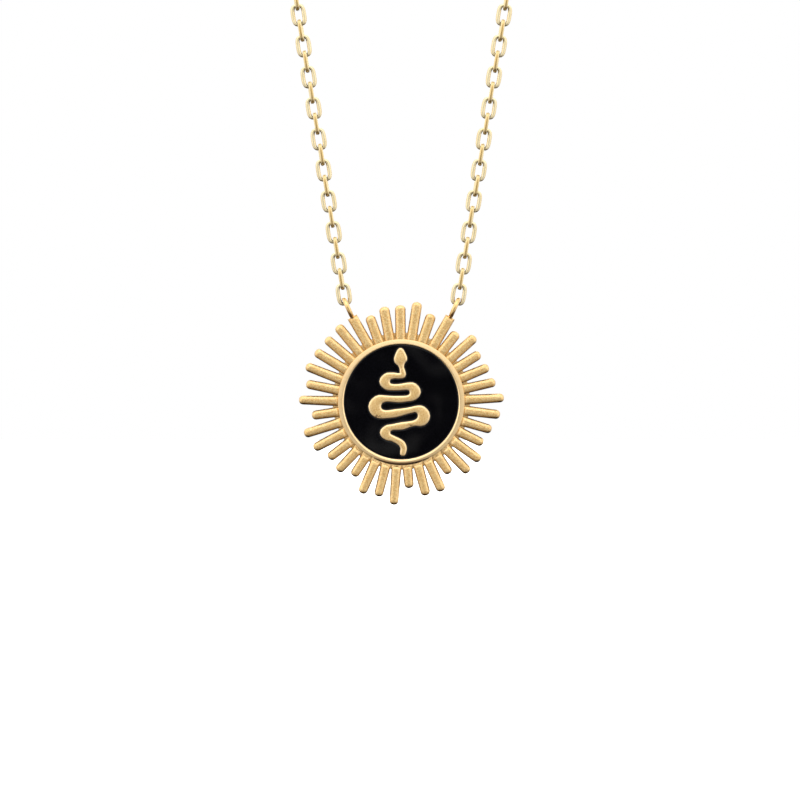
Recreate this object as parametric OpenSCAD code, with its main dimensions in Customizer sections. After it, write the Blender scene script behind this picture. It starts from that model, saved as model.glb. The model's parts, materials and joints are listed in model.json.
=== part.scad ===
// Snake necklace: a cast sun pendant with an enamelled disc and a raised snake,
// hung by two eyes on a cable chain that closes with a ring clasp.
// Units are millimetres. The necklace hangs in the XZ plane and its front faces -Y.
// The origin is the top of the round rest that the loop hangs over.

/* [Chain] */
// Diameter of the link wire
link_wire_d = 0.42; // [0.38:0.01:0.44]
// Clear width of the hole in a link
link_hole_w = 0.72; // [0.68:0.01:0.8]
// Distance from one link to the next along the chain
link_pitch = 1.62; // [1.55:0.01:1.7]
// Gap between the wires of two links where they hook together
link_gap = 0.11; // [0.1:0.01:0.15]
// Links in each half of the chain, an even number
links_per_side = 116; // [100:2:118]
// Lean of each straight strand from the vertical, in degrees
strand_lean = 9.2; // [8.5:0.1:11]

/* [Clasp and rings] */
// Wire diameter of the two jump rings
jump_wire_d = 0.45; // [0.4:0.05:0.5]
// Mean diameter of the two jump rings
jump_mean_d = 2.35; // [2.3:0.05:2.6]
// Tube diameter of the ring clasp
clasp_tube_d = 1.1; // [0.9:0.05:1.1]
// Mean diameter of the ring clasp
clasp_mean_d = 4.9; // [4.6:0.1:5.6]
// Wire diameter of the clasp's eye
clasp_eye_wire_d = 0.5; // [0.4:0.05:0.5]
// Mean diameter of the clasp's eye
clasp_eye_mean_d = 1.7; // [1.7:0.05:2]
// Height of the thumb stud above the clasp tube
clasp_stud_h = 0.7; // [0.5:0.1:1]
// Place of the thumb stud round the clasp, in degrees from its eye
clasp_stud_turn = 125; // [100:5:140]
// Depth of the flat clasp below the loop's curved line
clasp_drop = 0.2; // [0.15:0.01:0.25]

/* [Pendant disc] */
// Diameter of the enamelled disc inside the rim
disc_d = 11.84; // [11.5:0.02:12]
// Width of the rim wall
rim_w = 0.56; // [0.45:0.01:0.6]
// Edge rounding on the rim's top
rim_round = 0.16; // [0.1:0.01:0.2]
// Diameter of the web that joins the rays outside the rim
web_d = 13.9; // [13.8:0.1:14.6]

/* [Pendant heights] */
// Distance from the back of the casting to the plane of the eyes
back_depth = 0.47; // [0.45:0.01:0.6]
// Height of the rim's top above the plane of the eyes
rim_top = 0.7; // [0.6:0.01:0.75]
// Height of the rays' tops above the plane of the eyes
ray_top = 0.58; // [0.5:0.01:0.6]
// Height of the plate, which is the enamel's floor and the web between the rays
plate_top = 0.2; // [0.1:0.01:0.25]
// Height of the enamel's surface above the plane of the eyes
enamel_top = 0.52; // [0.45:0.01:0.56]
// Height of the snake's top above the plane of the eyes
snake_top = 0.66; // [0.6:0.01:0.7]
// Gap between the enamel and the metal round it
enamel_gap = 0.03; // [0.02:0.01:0.05]

/* [Rays] */
// Width of a ray at its outer end
ray_tip_w = 1; // [0.9:0.01:1.04]
// Width of a ray at its inner end
ray_root_w = 0.95; // [0.85:0.01:0.96]
// Radius of the domed top of a ray
ray_dome_r = 0.6; // [0.54:0.01:0.8]
// Distance of the rays' centre below the disc's centre, which the two rays with eyes don't share
ray_drop = 0.12; // [0:0.01:0.16]
// Distance from the pendant's centre to the flat ends that carry the eyes
eye_ray_r = 10.12; // [10:0.01:10.3]

/* [Eyes] */
// Wire diameter of the eyes
eye_wire_d = 0.48; // [0.42:0.01:0.5]
// Mean diameter of the eyes
eye_mean_d = 2; // [1.8:0.05:2.1]
// Lean of the eyes from the vertical, in degrees
eye_lean = 24.5; // [20:0.5:26]
// Distance by which an eye sits outside the middle of its link
eye_offset = 0.05; // [0:0.01:0.06]

/* [Hidden] */

GOLD = [0.87, 0.69, 0.39];
PALE_GOLD = [0.93, 0.79, 0.52];
BLACK = [0.04, 0.04, 0.05];
$fn = 48;
disc_fn = 96;
wire_fn = 24;

// Distance from the end of each ray's tip to the rays' centre, clockwise from the top.
// The two rays marked 0 end flat at eye_ray_r and carry the eyes.
RAY_REACH = [10.10, 10.55,  9.70,  0.00,  9.30, 10.25,  9.60,  9.75,  9.95, 10.60,
             10.25,  9.70,  9.40, 10.05,  9.95,  8.80, 10.00,  9.85,  8.80, 10.50,
              9.90, 10.15,  9.00,  9.60,  9.40, 10.15, 10.50,  9.30, 10.55, 10.00,
             10.55, 10.35, 10.25, 10.35,  0.00,  9.60, 10.10];
ray_count = len(RAY_REACH);
// The pattern of rays is turned by this angle, clockwise, from the top
ray_turn = -0.6;
eye_ray_right = 3;
eye_ray_left = 34;

// The snake from head to tail, as stations across its body.
// Columns: x and y on the disc, half width to the left and to the right of the way it runs.
SNAKE = [
    [-0.07,  5.57, 0.10, 0.10],
    [-0.07,  5.42, 0.30, 0.30],
    [-0.07,  5.05, 0.50, 0.50],
    [-0.07,  4.70, 0.65, 0.64],
    [-0.07,  4.38, 0.70, 0.69],
    [-0.07,  4.10, 0.60, 0.61],
    [-0.02,  3.82, 0.37, 0.36],
    [ 0.04,  3.52, 0.26, 0.26],
    [ 0.10,  3.20, 0.31, 0.28],
    [ 0.04,  2.86, 0.46, 0.24],
    [-0.28,  2.70, 0.34, 0.28],
    [-0.60,  2.70, 0.32, 0.32],
    [-0.95,  2.69, 0.36, 0.36],
    [-1.35,  2.52, 0.36, 0.54],
    [-1.53,  2.10, 0.36, 0.74],
    [-1.35,  1.68, 0.36, 0.52],
    [-0.90,  1.50, 0.36, 0.36],
    [-0.20,  1.51, 0.36, 0.36],
    [ 0.58,  1.60, 0.40, 0.40],
    [ 1.05,  1.42, 0.66, 0.38],
    [ 1.24,  0.97, 0.78, 0.38],
    [ 1.05,  0.53, 0.50, 0.36],
    [ 0.60,  0.34, 0.34, 0.34],
    [-0.20,  0.27, 0.37, 0.37],
    [-1.00,  0.31, 0.34, 0.34],
    [-1.66,  0.34, 0.37, 0.36],
    [-2.24,  0.12, 0.40, 0.66],
    [-2.48, -0.46, 0.40, 0.92],
    [-2.24, -1.04, 0.42, 0.74],
    [-1.60, -1.29, 0.44, 0.44],
    [-0.60, -1.17, 0.44, 0.44],
    [ 0.30, -0.99, 0.37, 0.37],
    [ 1.00, -0.84, 0.34, 0.34],
    [ 1.44, -0.76, 0.38, 0.34],
    [ 1.88, -0.96, 0.70, 0.34],
    [ 2.07, -1.44, 0.91, 0.37],
    [ 1.87, -1.93, 0.72, 0.37],
    [ 1.36, -2.19, 0.32, 0.32],
    [ 0.80, -2.31, 0.34, 0.33],
    [ 0.20, -2.46, 0.41, 0.41],
    [-0.40, -2.54, 0.38, 0.38],
    [-0.96, -2.62, 0.33, 0.34],
    [-1.37, -2.78, 0.38, 0.46],
    [-1.53, -3.16, 0.40, 0.68],
    [-1.35, -3.55, 0.38, 0.46],
    [-0.90, -3.76, 0.33, 0.33],
    [-0.42, -3.98, 0.33, 0.33],
    [ 0.04, -4.30, 0.36, 0.34],
    [ 0.24, -4.74, 0.34, 0.34],
    [ 0.19, -5.14, 0.32, 0.32],
    [ 0.12, -5.44, 0.24, 0.24],
    [ 0.10, -5.55, 0.08, 0.08]];
// Steps between two stations
snake_steps = 3;

rim_inner_r = disc_d / 2;
rim_outer_r = rim_inner_r + rim_w;
// Overlap of the rim, the snake and the rays with what they are cast on
root_sink = 0.05;
ray_root_r = rim_outer_r - root_sink - ray_drop;
// Length over which the domed top of a ray falls towards its round end
ray_end_drop = 0.5;
// Side of the block that holds all of a ray below its domed top
block = 30;

link_wire_r = link_wire_d / 2;
link_bend_r = (link_hole_w + link_wire_d) / 2;
link_length = link_pitch + 2 * link_wire_d + link_gap;
link_straight = link_length - link_wire_d - 2 * link_bend_r;
// Distance from the middle of a link to the wire's centre at either end
link_reach = (link_length - link_wire_d) / 2;

jump_r = jump_mean_d / 2;
// Overlap of the clasp's eye with its tube, where it is soldered on
clasp_eye_sink = 0.2;
// Distances along the chain's line from the middle of the clasp
clasp_to_ring = clasp_mean_d / 2 - clasp_tube_d / 2 - jump_wire_d / 2 - link_gap;
clasp_eye_x = (clasp_mean_d + clasp_tube_d + clasp_eye_mean_d) / 2 - clasp_eye_sink;
clasp_to_eye_ring = clasp_eye_x + clasp_eye_mean_d / 2 - clasp_eye_wire_d / 2
                    - jump_wire_d / 2 - link_gap;
// Both jump rings lie this far from the top of the loop
jump_at = (clasp_to_ring + clasp_to_eye_ring) / 2 + jump_r;
clasp_shift = jump_at - jump_r - clasp_to_ring;
// The last link's end wire lies this far from the top of the loop
chain_end_at = jump_at + jump_r - jump_wire_d / 2 - link_wire_r - link_gap;

// Where the right eye is soldered to its ray, from the pendant's centre
eye_ray_angle = 30;
eye_foot = eye_ray_r * [sin(eye_ray_angle), cos(eye_ray_angle)];
eye_way = [sin(eye_lean), cos(eye_lean)];
eye_centre = eye_foot + eye_mean_d / 2 * eye_way;
eye_crown = eye_foot + eye_mean_d * eye_way;
strand_way = [sin(strand_lean), cos(strand_lean)];
strand_out = [cos(strand_lean), -sin(strand_lean)];
// The right half of the chain starts at the centre of its lowest wire
strand_foot = eye_crown - link_bend_r * strand_way - eye_offset * strand_out;

// Half the chain's line, from the strand's foot to the top of the loop
half_line = 2 * link_reach + (links_per_side - 1) * link_pitch + chain_end_at;
lean_rad = strand_lean * PI / 180;
loop_r = (half_line + strand_foot[0] / sin(strand_lean))
         / (cos(strand_lean) / sin(strand_lean) + PI / 2 + lean_rad);
strand_length = (loop_r * cos(strand_lean) - strand_foot[0]) / sin(strand_lean);
rest_r = loop_r - jump_r - jump_wire_d / 2;
// Height of the hinge line through the two strands' feet
hinge_z = -rest_r - loop_r * sin(strand_lean) - strand_length * cos(strand_lean);
pendant_z = hinge_z - strand_foot[1];

// A point on the right half of the chain's line and its turn about Y,
// at a distance q from the strand's foot
function line_point(q) =
    q <= strand_length
    ? [strand_foot[0] + q * strand_way[0], 0, hinge_z + q * strand_way[1]]
    : let (a = (q - strand_length) / loop_r * 180 / PI - strand_lean)
      [loop_r * cos(a), 0, -rest_r + loop_r * sin(a)];
function line_turn(q) =
    q <= strand_length
    ? strand_lean
    : strand_lean - (q - strand_length) / loop_r * 180 / PI;

// A point of the smooth curve through four stations, between the middle two
function blend(p, t) =
    0.5 * (2 * p[1] + (p[2] - p[0]) * t
           + (2 * p[0] - 5 * p[1] + 4 * p[2] - p[3]) * t * t
           + (3 * p[1] - p[0] - 3 * p[2] + p[3]) * t * t * t);
function four(rows, i) =
    [for (k = [-1:2]) rows[min(max(i + k, 0), len(rows) - 1)]];
snake_line = [for (i = [0:len(SNAKE) - 2], k = [0:snake_steps - 1])
              blend(four(SNAKE, i), k / snake_steps),
              SNAKE[len(SNAKE) - 1]];
snake_last = len(snake_line) - 1;
// The unit vector along the snake at one point of its line
function snake_way(i) =
    let (a = snake_line[max(i - 1, 0)], b = snake_line[min(i + 1, snake_last)],
         d = [b[0] - a[0], b[1] - a[1]])
    d / norm(d);
// A point of the outline, to the left of the line for side 1 and to its right for side -1
function snake_edge(i, side, grow) =
    let (p = snake_line[i], half = side > 0 ? p[2] : p[3], way = snake_way(i),
         past_end = i == 0 ? -grow : i == snake_last ? grow : 0)
    [p[0], p[1]] + side * (half + grow) * [-way[1], way[0]] + past_end * way;

// The snake's outline, grown by a small distance on each side
module snake_outline(grow) {
    polygon([for (i = [0:snake_last]) snake_edge(i, 1, grow),
             for (i = [snake_last:-1:0]) snake_edge(i, -1, grow)]);
}

// Puts a shape drawn with its front towards +Z in place, with its front facing -Y
module in_pendant() {
    translate([0, 0, pendant_z]) rotate([90, 0, 0]) children();
}

module wire_ring(mean_d, wire_d) {
    rotate_extrude() translate([mean_d / 2, 0]) circle(d = wire_d, $fn = wire_fn);
}

// One ray, along +Y from the root to its reach, with a domed top and round or flat end
module ray(reach, flat) {
    root_c = ray_root_r + ray_root_w / 2;
    tip_c = flat ? reach : reach - ray_tip_w / 2;
    dome_z = ray_top - ray_dome_r;
    dome_end = flat ? reach : reach - ray_end_drop;
    dome_start = ray_root_r + ray_end_drop;
    intersection() {
        translate([0, 0, -back_depth])
            linear_extrude(ray_top + back_depth) {
                polygon([[-ray_root_w / 2, root_c], [ray_root_w / 2, root_c],
                         [ray_tip_w / 2, tip_c], [-ray_tip_w / 2, tip_c]]);
                translate([0, root_c]) circle(d = ray_root_w);
                if (!flat) translate([0, tip_c]) circle(d = ray_tip_w);
            }
        union() {
            translate([0, 0, dome_z]) rotate([-90, 0, 0])
                rotate_extrude() intersection() {
                    union() {
                        translate([0, dome_start]) square([ray_dome_r, dome_end - dome_start]);
                        translate([0, dome_start]) circle(ray_dome_r);
                        if (!flat) translate([0, dome_end]) circle(ray_dome_r);
                    }
                    square(block);
                }
            translate([-block / 2, 0, dome_z - block]) cube(block);
        }
    }
}

module rays() {
    for (i = [0:ray_count - 1]) {
        flat = RAY_REACH[i] == 0;
        turn = i == eye_ray_right ? eye_ray_angle
             : i == eye_ray_left ? -eye_ray_angle
             : ray_turn + i * 360 / ray_count;
        translate([0, flat ? 0 : -ray_drop]) rotate(-turn) ray(flat ? eye_ray_r : RAY_REACH[i], flat);
    }
}

// Back plate and web in one disc, with the rim standing on it
module disc_and_rim() {
    translate([0, 0, -back_depth]) cylinder(d = web_d, h = back_depth + plate_top, $fn = disc_fn);
    rotate_extrude($fn = disc_fn) {
        translate([rim_inner_r, plate_top - root_sink])
            square([rim_w, rim_top - rim_round - plate_top + root_sink]);
        translate([rim_inner_r + rim_round, 0]) square([rim_w - 2 * rim_round, rim_top]);
        translate([rim_inner_r + rim_round, rim_top - rim_round]) circle(rim_round);
        translate([rim_outer_r - rim_round, rim_top - rim_round]) circle(rim_round);
    }
}

module eyes() {
    for (side = [0, 1]) mirror([side, 0, 0])
        translate([eye_centre[0], eye_centre[1], 0]) rotate([0, 90, -eye_lean])
            wire_ring(eye_mean_d, eye_wire_d);
}

module pendant_casting() {
    color(GOLD) in_pendant() {
        disc_and_rim();
        rays();
        translate([0, 0, plate_top - root_sink])
            linear_extrude(snake_top - plate_top + root_sink) snake_outline(0);
        eyes();
    }
}

module enamel() {
    color(BLACK) in_pendant()
        translate([0, 0, plate_top + enamel_gap])
            linear_extrude(enamel_top - plate_top - enamel_gap) difference() {
                circle(r = rim_inner_r - enamel_gap, $fn = disc_fn);
                snake_outline(enamel_gap);
            }
}

// One oval link, long axis along Z, lying in the XZ plane
module link() {
    for (end = [0, 1]) mirror([0, 0, end])
        translate([0, 0, link_straight / 2]) rotate([90, 0, 0])
            rotate_extrude(angle = 180) translate([link_bend_r, 0])
                circle(link_wire_r, $fn = wire_fn);
    for (side = [-1, 1])
        translate([side * link_bend_r, 0, -link_straight / 2])
            cylinder(r = link_wire_r, h = link_straight, $fn = wire_fn);
}

// Half of the chain, from the eye up to the jump ring. Each link is turned a quarter from the last.
module chain_half() {
    for (i = [0:links_per_side - 1]) {
        q = link_reach + i * link_pitch;
        translate(line_point(q)) rotate([0, line_turn(q), 0]) rotate([0, 0, 90 * (i % 2)]) link();
    }
}

module chain_right() {
    color(PALE_GOLD) chain_half();
}

module chain_left() {
    color(PALE_GOLD) mirror([1, 0, 0]) chain_half();
}

module jump_ring() {
    translate(line_point(half_line - jump_at)) rotate([90, 0, 0])
        wire_ring(jump_mean_d, jump_wire_d);
}

module jump_ring_right() {
    color(PALE_GOLD) jump_ring();
}

module jump_ring_left() {
    color(PALE_GOLD) mirror([1, 0, 0]) jump_ring();
}

// Ring clasp lying flat across the top of the loop, its eye towards the left half of the chain
module clasp() {
    color(PALE_GOLD) translate([clasp_shift, 0, loop_r - rest_r - clasp_drop]) rotate([180, 0, 180]) {
        wire_ring(clasp_mean_d, clasp_tube_d);
        translate([clasp_eye_x, 0, 0]) wire_ring(clasp_eye_mean_d, clasp_eye_wire_d);
        rotate(clasp_stud_turn) translate([clasp_mean_d / 2, 0, 0]) rotate([0, 90, 0])
            cylinder(d = clasp_eye_wire_d, h = clasp_tube_d / 2 + clasp_stud_h);
    }
}

pendant_casting();
enamel();
chain_left();
chain_right();
jump_ring_left();
jump_ring_right();
clasp();
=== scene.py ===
import json
import math
import random

import bmesh
import bpy
import numpy as np
from mathutils import Matrix, Vector, geometry

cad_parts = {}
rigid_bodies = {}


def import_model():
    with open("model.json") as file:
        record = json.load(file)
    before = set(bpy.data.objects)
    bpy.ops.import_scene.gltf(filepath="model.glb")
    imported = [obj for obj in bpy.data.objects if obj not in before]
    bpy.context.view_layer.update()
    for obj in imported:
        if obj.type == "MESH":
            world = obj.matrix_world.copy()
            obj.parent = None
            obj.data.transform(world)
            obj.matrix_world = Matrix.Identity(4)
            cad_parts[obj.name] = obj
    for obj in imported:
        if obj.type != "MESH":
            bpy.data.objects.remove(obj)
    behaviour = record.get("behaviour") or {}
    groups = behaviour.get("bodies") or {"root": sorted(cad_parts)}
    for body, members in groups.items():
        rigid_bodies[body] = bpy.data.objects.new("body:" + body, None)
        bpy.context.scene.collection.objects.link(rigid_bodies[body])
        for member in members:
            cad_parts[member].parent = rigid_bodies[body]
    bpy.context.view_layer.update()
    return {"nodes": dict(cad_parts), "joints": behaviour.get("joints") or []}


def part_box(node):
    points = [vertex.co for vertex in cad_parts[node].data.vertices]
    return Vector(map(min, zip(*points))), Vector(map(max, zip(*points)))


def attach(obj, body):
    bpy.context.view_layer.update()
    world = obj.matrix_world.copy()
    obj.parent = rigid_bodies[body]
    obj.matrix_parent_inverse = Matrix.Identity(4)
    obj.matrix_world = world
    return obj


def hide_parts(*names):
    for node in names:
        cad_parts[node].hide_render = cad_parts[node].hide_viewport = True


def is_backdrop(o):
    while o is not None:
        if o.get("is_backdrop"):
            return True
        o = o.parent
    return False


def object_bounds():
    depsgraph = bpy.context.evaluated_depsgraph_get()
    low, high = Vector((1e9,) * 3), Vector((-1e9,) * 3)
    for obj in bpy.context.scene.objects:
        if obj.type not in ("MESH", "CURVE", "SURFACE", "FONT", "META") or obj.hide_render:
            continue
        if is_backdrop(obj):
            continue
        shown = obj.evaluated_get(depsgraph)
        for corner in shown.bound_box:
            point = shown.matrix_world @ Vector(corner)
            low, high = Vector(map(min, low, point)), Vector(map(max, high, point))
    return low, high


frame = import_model()


# The gold of the sun.
# The sun, its rim, snake and two eyes are one brass casting, plated with yellow gold and lacquered. The
# rays and the plate are sand-blasted, the rim and the snake's edges polished, and the eyes burnished.
def linear(code):
    """The linear colour of an sRGB hex value."""
    parts = [int(code[i:i + 2], 16) / 255 for i in (1, 3, 5)]
    return (*[c / 12.92 if c <= 0.04045 else ((c + 0.055) / 1.055) ** 2.4 for c in parts], 1)


def add_node(tree, kind, inputs=None, **settings):
    """Adds a node with its settings. Each input is a value, or another node's socket, which is linked."""
    node = tree.nodes.new(kind)
    for name, value in settings.items():
        setattr(node, name, value)
    for name, value in (inputs or {}).items():
        if isinstance(value, bpy.types.NodeSocket):
            tree.links.new(value, node.inputs[name])
        else:
            node.inputs[name].default_value = value
    return node


def new_material(name):
    """A material with no nodes yet, and its node tree."""
    material = bpy.data.materials.new(name)
    material.use_nodes = True
    material.node_tree.nodes.clear()
    return material, material.node_tree


MM = 0.001


def per_metre(size_mm):
    """The scale of a pattern whose features are this many millimetres across."""
    return 1 / (size_mm * MM)


# Three finishes of the same gold plate on cast brass. Sand-blasted plate has a fine matt grain that glows
# instead of mirroring: its real grit is 0.05 mm, and it is drawn at 0.13 mm, the least that shows.
# Polished plate is paler, with a soft sheen, and burnished plate is smoother and a deeper yellow. Both
# have rubbing marks 0.02 mm wide, drawn at 0.08 mm. All three are painted brown deep between the rays and
# on undersides, as painted shade, and have worn to brown at two places on the snake's lower edge.
# Columns: name, size of the grain in mm, dark and light of the grain, dark and light of the clouds, least
# and most roughness, strength and depth in mm of the bump
GOLDS = [
    ("sand_blasted_gold_plate", 0.13, "#D39C48", "#FCE1A5", "#E4B668", "#FCDD9F", 0.34, 0.46, 0.6, 0.07),
    ("polished_gold_plate", 0.08, "#EDC381", "#FEE2AE", "#EECA8C", "#FEE5B9", 0.26, 0.36, 0.15, 0.04),
    ("burnished_gold_plate", 0.08, "#DDB066", "#F4D392", "#DCB16C", "#F4D394", 0.20, 0.28, 0.1, 0.03)]
# The plate's colour also varies in soft clouds of this size, which have this share in it beside the grain
CLOUD_MM = 0.9
CLOUD_SHARE = 0.35
# The clear lacquer keeps the plate from tarnishing, and whitens its highlights
LACQUER_IOR, LACQUER_ROUGH = 1.65, 0.3
# The first brown is painted shade, deep between the rays and on undersides; the second is the worn spots'
SHADE_BROWN, WORN_BROWN = "#54310F", "#80592B"
# Y in metres, front to back, where the recesses' painted shade starts, is whole, starts to fade and has
# ended
RECESS_SHADE_FROM, RECESS_SHADE_WHOLE, RECESS_SHADE_FADES, RECESS_SHADE_ENDS = -0.00039, -0.00005, 0.00036, 0.00046
# How far a surface faces down where the painted shade of undersides starts on it, and where it is whole
UNDERSIDE_SHADE_FROM, UNDERSIDE_SHADE_WHOLE = -0.58, -0.76
# Places of the worn spots on the snake, in mm from the disc's centre, and their Y and radius in metres
WORN_SPOTS = [(-2.45, -1.75), (0.9, -2.7)]
WORN_Y, WORN_R = -0.0006, 0.0006
# Size of the flecks in a worn spot
FLECK_MM = 0.22
DISC_Z = (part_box("enamel")[0].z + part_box("enamel")[1].z) / 2
# Numbers of the Mix node's sockets for a colour
MIX_A, MIX_B, MIX_OUT = 6, 7, 2
casting_finishes = []
for (name, grain_mm, grain_dark, grain_light, cloud_dark, cloud_light, least_rough, most_rough, bump_share,
     bump_mm) in GOLDS:
    gold_plate, tree = new_material(name)
    coordinates = add_node(tree, "ShaderNodeTexCoord")
    place = coordinates.outputs["Object"]
    grain = add_node(tree, "ShaderNodeTexNoise", {
        "Vector": place, "Scale": per_metre(grain_mm), "Detail": 3, "Roughness": 0.6}).outputs["Fac"]
    cloud = add_node(tree, "ShaderNodeTexNoise", {
        "Vector": place, "Scale": per_metre(CLOUD_MM), "Detail": 2})
    grain_share = add_node(tree, "ShaderNodeMapRange", {"Value": grain, "From Min": 0.35, "From Max": 0.65})
    grain_colour = add_node(tree, "ShaderNodeMix", {0: grain_share.outputs[0], MIX_A: linear(grain_dark),
                                                    MIX_B: linear(grain_light)}, data_type="RGBA")
    cloud_colour = add_node(tree, "ShaderNodeMix", {0: cloud.outputs["Fac"], MIX_A: linear(cloud_dark),
                                                    MIX_B: linear(cloud_light)}, data_type="RGBA")
    top_colour = add_node(tree, "ShaderNodeMix", {0: CLOUD_SHARE, MIX_A: grain_colour.outputs[MIX_OUT],
                                                  MIX_B: cloud_colour.outputs[MIX_OUT]}, data_type="RGBA")
    # Painted shade: the plate is painted brown deep between the rays, fading out near its back, and where
    # it faces down
    depth = add_node(tree, "ShaderNodeSeparateXYZ", {0: place}).outputs["Y"]
    below_tops = add_node(tree, "ShaderNodeMapRange", {"Value": depth, "From Min": RECESS_SHADE_FROM,
                                                       "From Max": RECESS_SHADE_WHOLE})
    above_back = add_node(tree, "ShaderNodeMapRange", {"Value": depth, "From Min": RECESS_SHADE_ENDS,
                                                       "From Max": RECESS_SHADE_FADES})
    recess_shade = add_node(tree, "ShaderNodeMath", {0: below_tops.outputs[0], 1: above_back.outputs[0]},
                      operation="MULTIPLY")
    facing = add_node(tree, "ShaderNodeSeparateXYZ", {0: coordinates.outputs["Normal"]})
    underside_shade = add_node(tree, "ShaderNodeMapRange", {
        "Value": facing.outputs["Z"], "From Min": UNDERSIDE_SHADE_FROM, "From Max": UNDERSIDE_SHADE_WHOLE})
    painted_shade = add_node(tree, "ShaderNodeMath", {0: recess_shade.outputs[0], 1: underside_shade.outputs[0]},
                          operation="MAXIMUM")
    shaded_plate_colour = add_node(tree, "ShaderNodeMix", {
        0: painted_shade.outputs[0], MIX_A: top_colour.outputs[MIX_OUT], MIX_B: linear(SHADE_BROWN)},
        data_type="RGBA")
    spot_distances = [
        add_node(tree, "ShaderNodeVectorMath", {0: place, 1: (x * MM, WORN_Y, DISC_Z + z * MM)},
                 operation="DISTANCE").outputs["Value"] for x, z in WORN_SPOTS]
    nearest_spot = add_node(tree, "ShaderNodeMath", dict(enumerate(spot_distances)), operation="MINIMUM")
    near_spot = add_node(tree, "ShaderNodeMapRange", {"Value": nearest_spot.outputs[0], "From Min": WORN_R,
                                                      "From Max": WORN_R / 2})
    fleck = add_node(tree, "ShaderNodeTexNoise", {
        "Vector": place, "Scale": per_metre(FLECK_MM), "Detail": 1})
    fleck_share = add_node(tree, "ShaderNodeMapRange", {"Value": fleck.outputs["Fac"], "From Min": 0.5,
                                                        "From Max": 0.6})
    worn = add_node(tree, "ShaderNodeMath", {0: near_spot.outputs[0], 1: fleck_share.outputs[0]},
                    operation="MULTIPLY")
    gold_colour = add_node(tree, "ShaderNodeMix", {0: worn.outputs[0], MIX_A: shaded_plate_colour.outputs[MIX_OUT],
                                                   MIX_B: linear(WORN_BROWN)}, data_type="RGBA")
    gold_rough = add_node(tree, "ShaderNodeMapRange", {"Value": grain, "To Min": least_rough,
                                                       "To Max": most_rough})
    gold_bump = add_node(tree, "ShaderNodeBump", {"Height": grain, "Strength": bump_share,
                                                  "Distance": bump_mm * MM})
    gold = add_node(tree, "ShaderNodeBsdfPrincipled", {
        "Base Color": gold_colour.outputs[MIX_OUT], "Metallic": 1, "Roughness": gold_rough.outputs[0],
        "Normal": gold_bump.outputs[0], "Coat Weight": 1, "Coat Roughness": LACQUER_ROUGH,
        "Coat IOR": LACQUER_IOR})
    add_node(tree, "ShaderNodeOutputMaterial", {"Surface": gold.outputs[0]})
    casting_finishes.append(gold_plate)

# Painted shade for the groove under the rim: a dull brown-black crust with specks 0.05 mm across
SHADE_SPECK_MM = 0.05
groove_shade_material, tree = new_material("painted_groove_shade")
place = add_node(tree, "ShaderNodeTexCoord").outputs["Object"]
shade_specks = add_node(tree, "ShaderNodeTexNoise", {"Vector": place, "Scale": per_metre(SHADE_SPECK_MM), "Detail": 2})
groove_shade_colour = add_node(tree, "ShaderNodeMix", {0: shade_specks.outputs["Fac"], MIX_A: linear("#140A03"),
                                                MIX_B: linear("#5E3B1A")}, data_type="RGBA")
groove_shade_bump = add_node(tree, "ShaderNodeBump", {"Height": shade_specks.outputs["Fac"], "Strength": 0.5,
                                               "Distance": 0.00003})
groove_shade_surface = add_node(tree, "ShaderNodeBsdfPrincipled", {
    "Base Color": groove_shade_colour.outputs[MIX_OUT], "Roughness": 0.8, "Normal": groove_shade_bump.outputs[0]})
add_node(tree, "ShaderNodeOutputMaterial", {"Surface": groove_shade_surface.outputs[0]})
casting_finishes.append(groove_shade_material)

# The rays of the sun.
# Thirty-seven bars of uneven length, cast with the plate, each one a soft pillow with a round tip, as the
# wax was filed by hand. The two at 30 degrees end flat, and carry the eyes. The sizes of all shapes down to
# the clasp are in mm, and the sun's heights go from the eyes' plane towards the viewer.
RAY_COUNT = 37
# Angle of the first ray clockwise from the top, in degrees
RAY_TURN = -0.6
# The two rays with eyes, counted clockwise from the first, with their angles, and how far they reach
EYE_RAY_TURN = 30
EYE_RAYS = {3: EYE_RAY_TURN, 34: -EYE_RAY_TURN}
EYE_RAY_R = 10.12
RAY_ROOT_W, RAY_TIP_W = 1.06, 0.96
# Share by which a tip's width varies from ray to ray
TIP_VARIES = 0.03
# The rays at the top are this much broader at their tips
TOP_RAY_EXTRA = 0.14
# Length of a tip's rounding, and how square it is
TIP_L, TIP_SQUARE = 0.48, 2.2
# The rays' centre lies this far below the disc's, except for the two rays with eyes
RAY_DROP = 0.12
RAY_ROOT_R = 6.2
# Heights of the casting's flat back, of the rays' backs and of their tops
BACK_Z = -0.47
RAY_BACK, RAY_TOP = BACK_Z + 0.01, 0.58
# Columns: inset from the ray's outline, height
RAY_SECTION = [(0.20, RAY_BACK), (0.10, RAY_BACK), (0.03, RAY_BACK + 0.03), (0, RAY_BACK + 0.10), (0, 0.20),
               (0.02, 0.29), (0.055, 0.37), (0.105, 0.44), (0.165, 0.495), (0.235, 0.535), (0.31, 0.562),
               (0.38, 0.576), (0.43, RAY_TOP)]
# Next to the rim a ray's top dips by this much, and by LOW_DIP less at the top of the sun and more at its
# bottom. It starts this far out, fades over this length, and leaves what is lower than DIP_FLOOR.
ROOT_DIP, LOW_DIP = 0.12, 0.08
ROOT_DIP_R, ROOT_DIP_L = 6.48, 0.15
DIP_FLOOR = 0.3
RAY_SIDE_STEPS = 22
# The steps along a ray's sides crowd towards its root by this power
SIDE_CROWDING = 1.5
RAY_TIP_STEPS = 16
# Edges that bend by more than this look sharp
SHARP_ANGLE = math.radians(38)
# Numbers of the casting's finishes, and of the painted shade in the groove
SATIN, POLISHED, BURNISHED, GROOVE_SHADE = 0, 1, 2, 3

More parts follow.
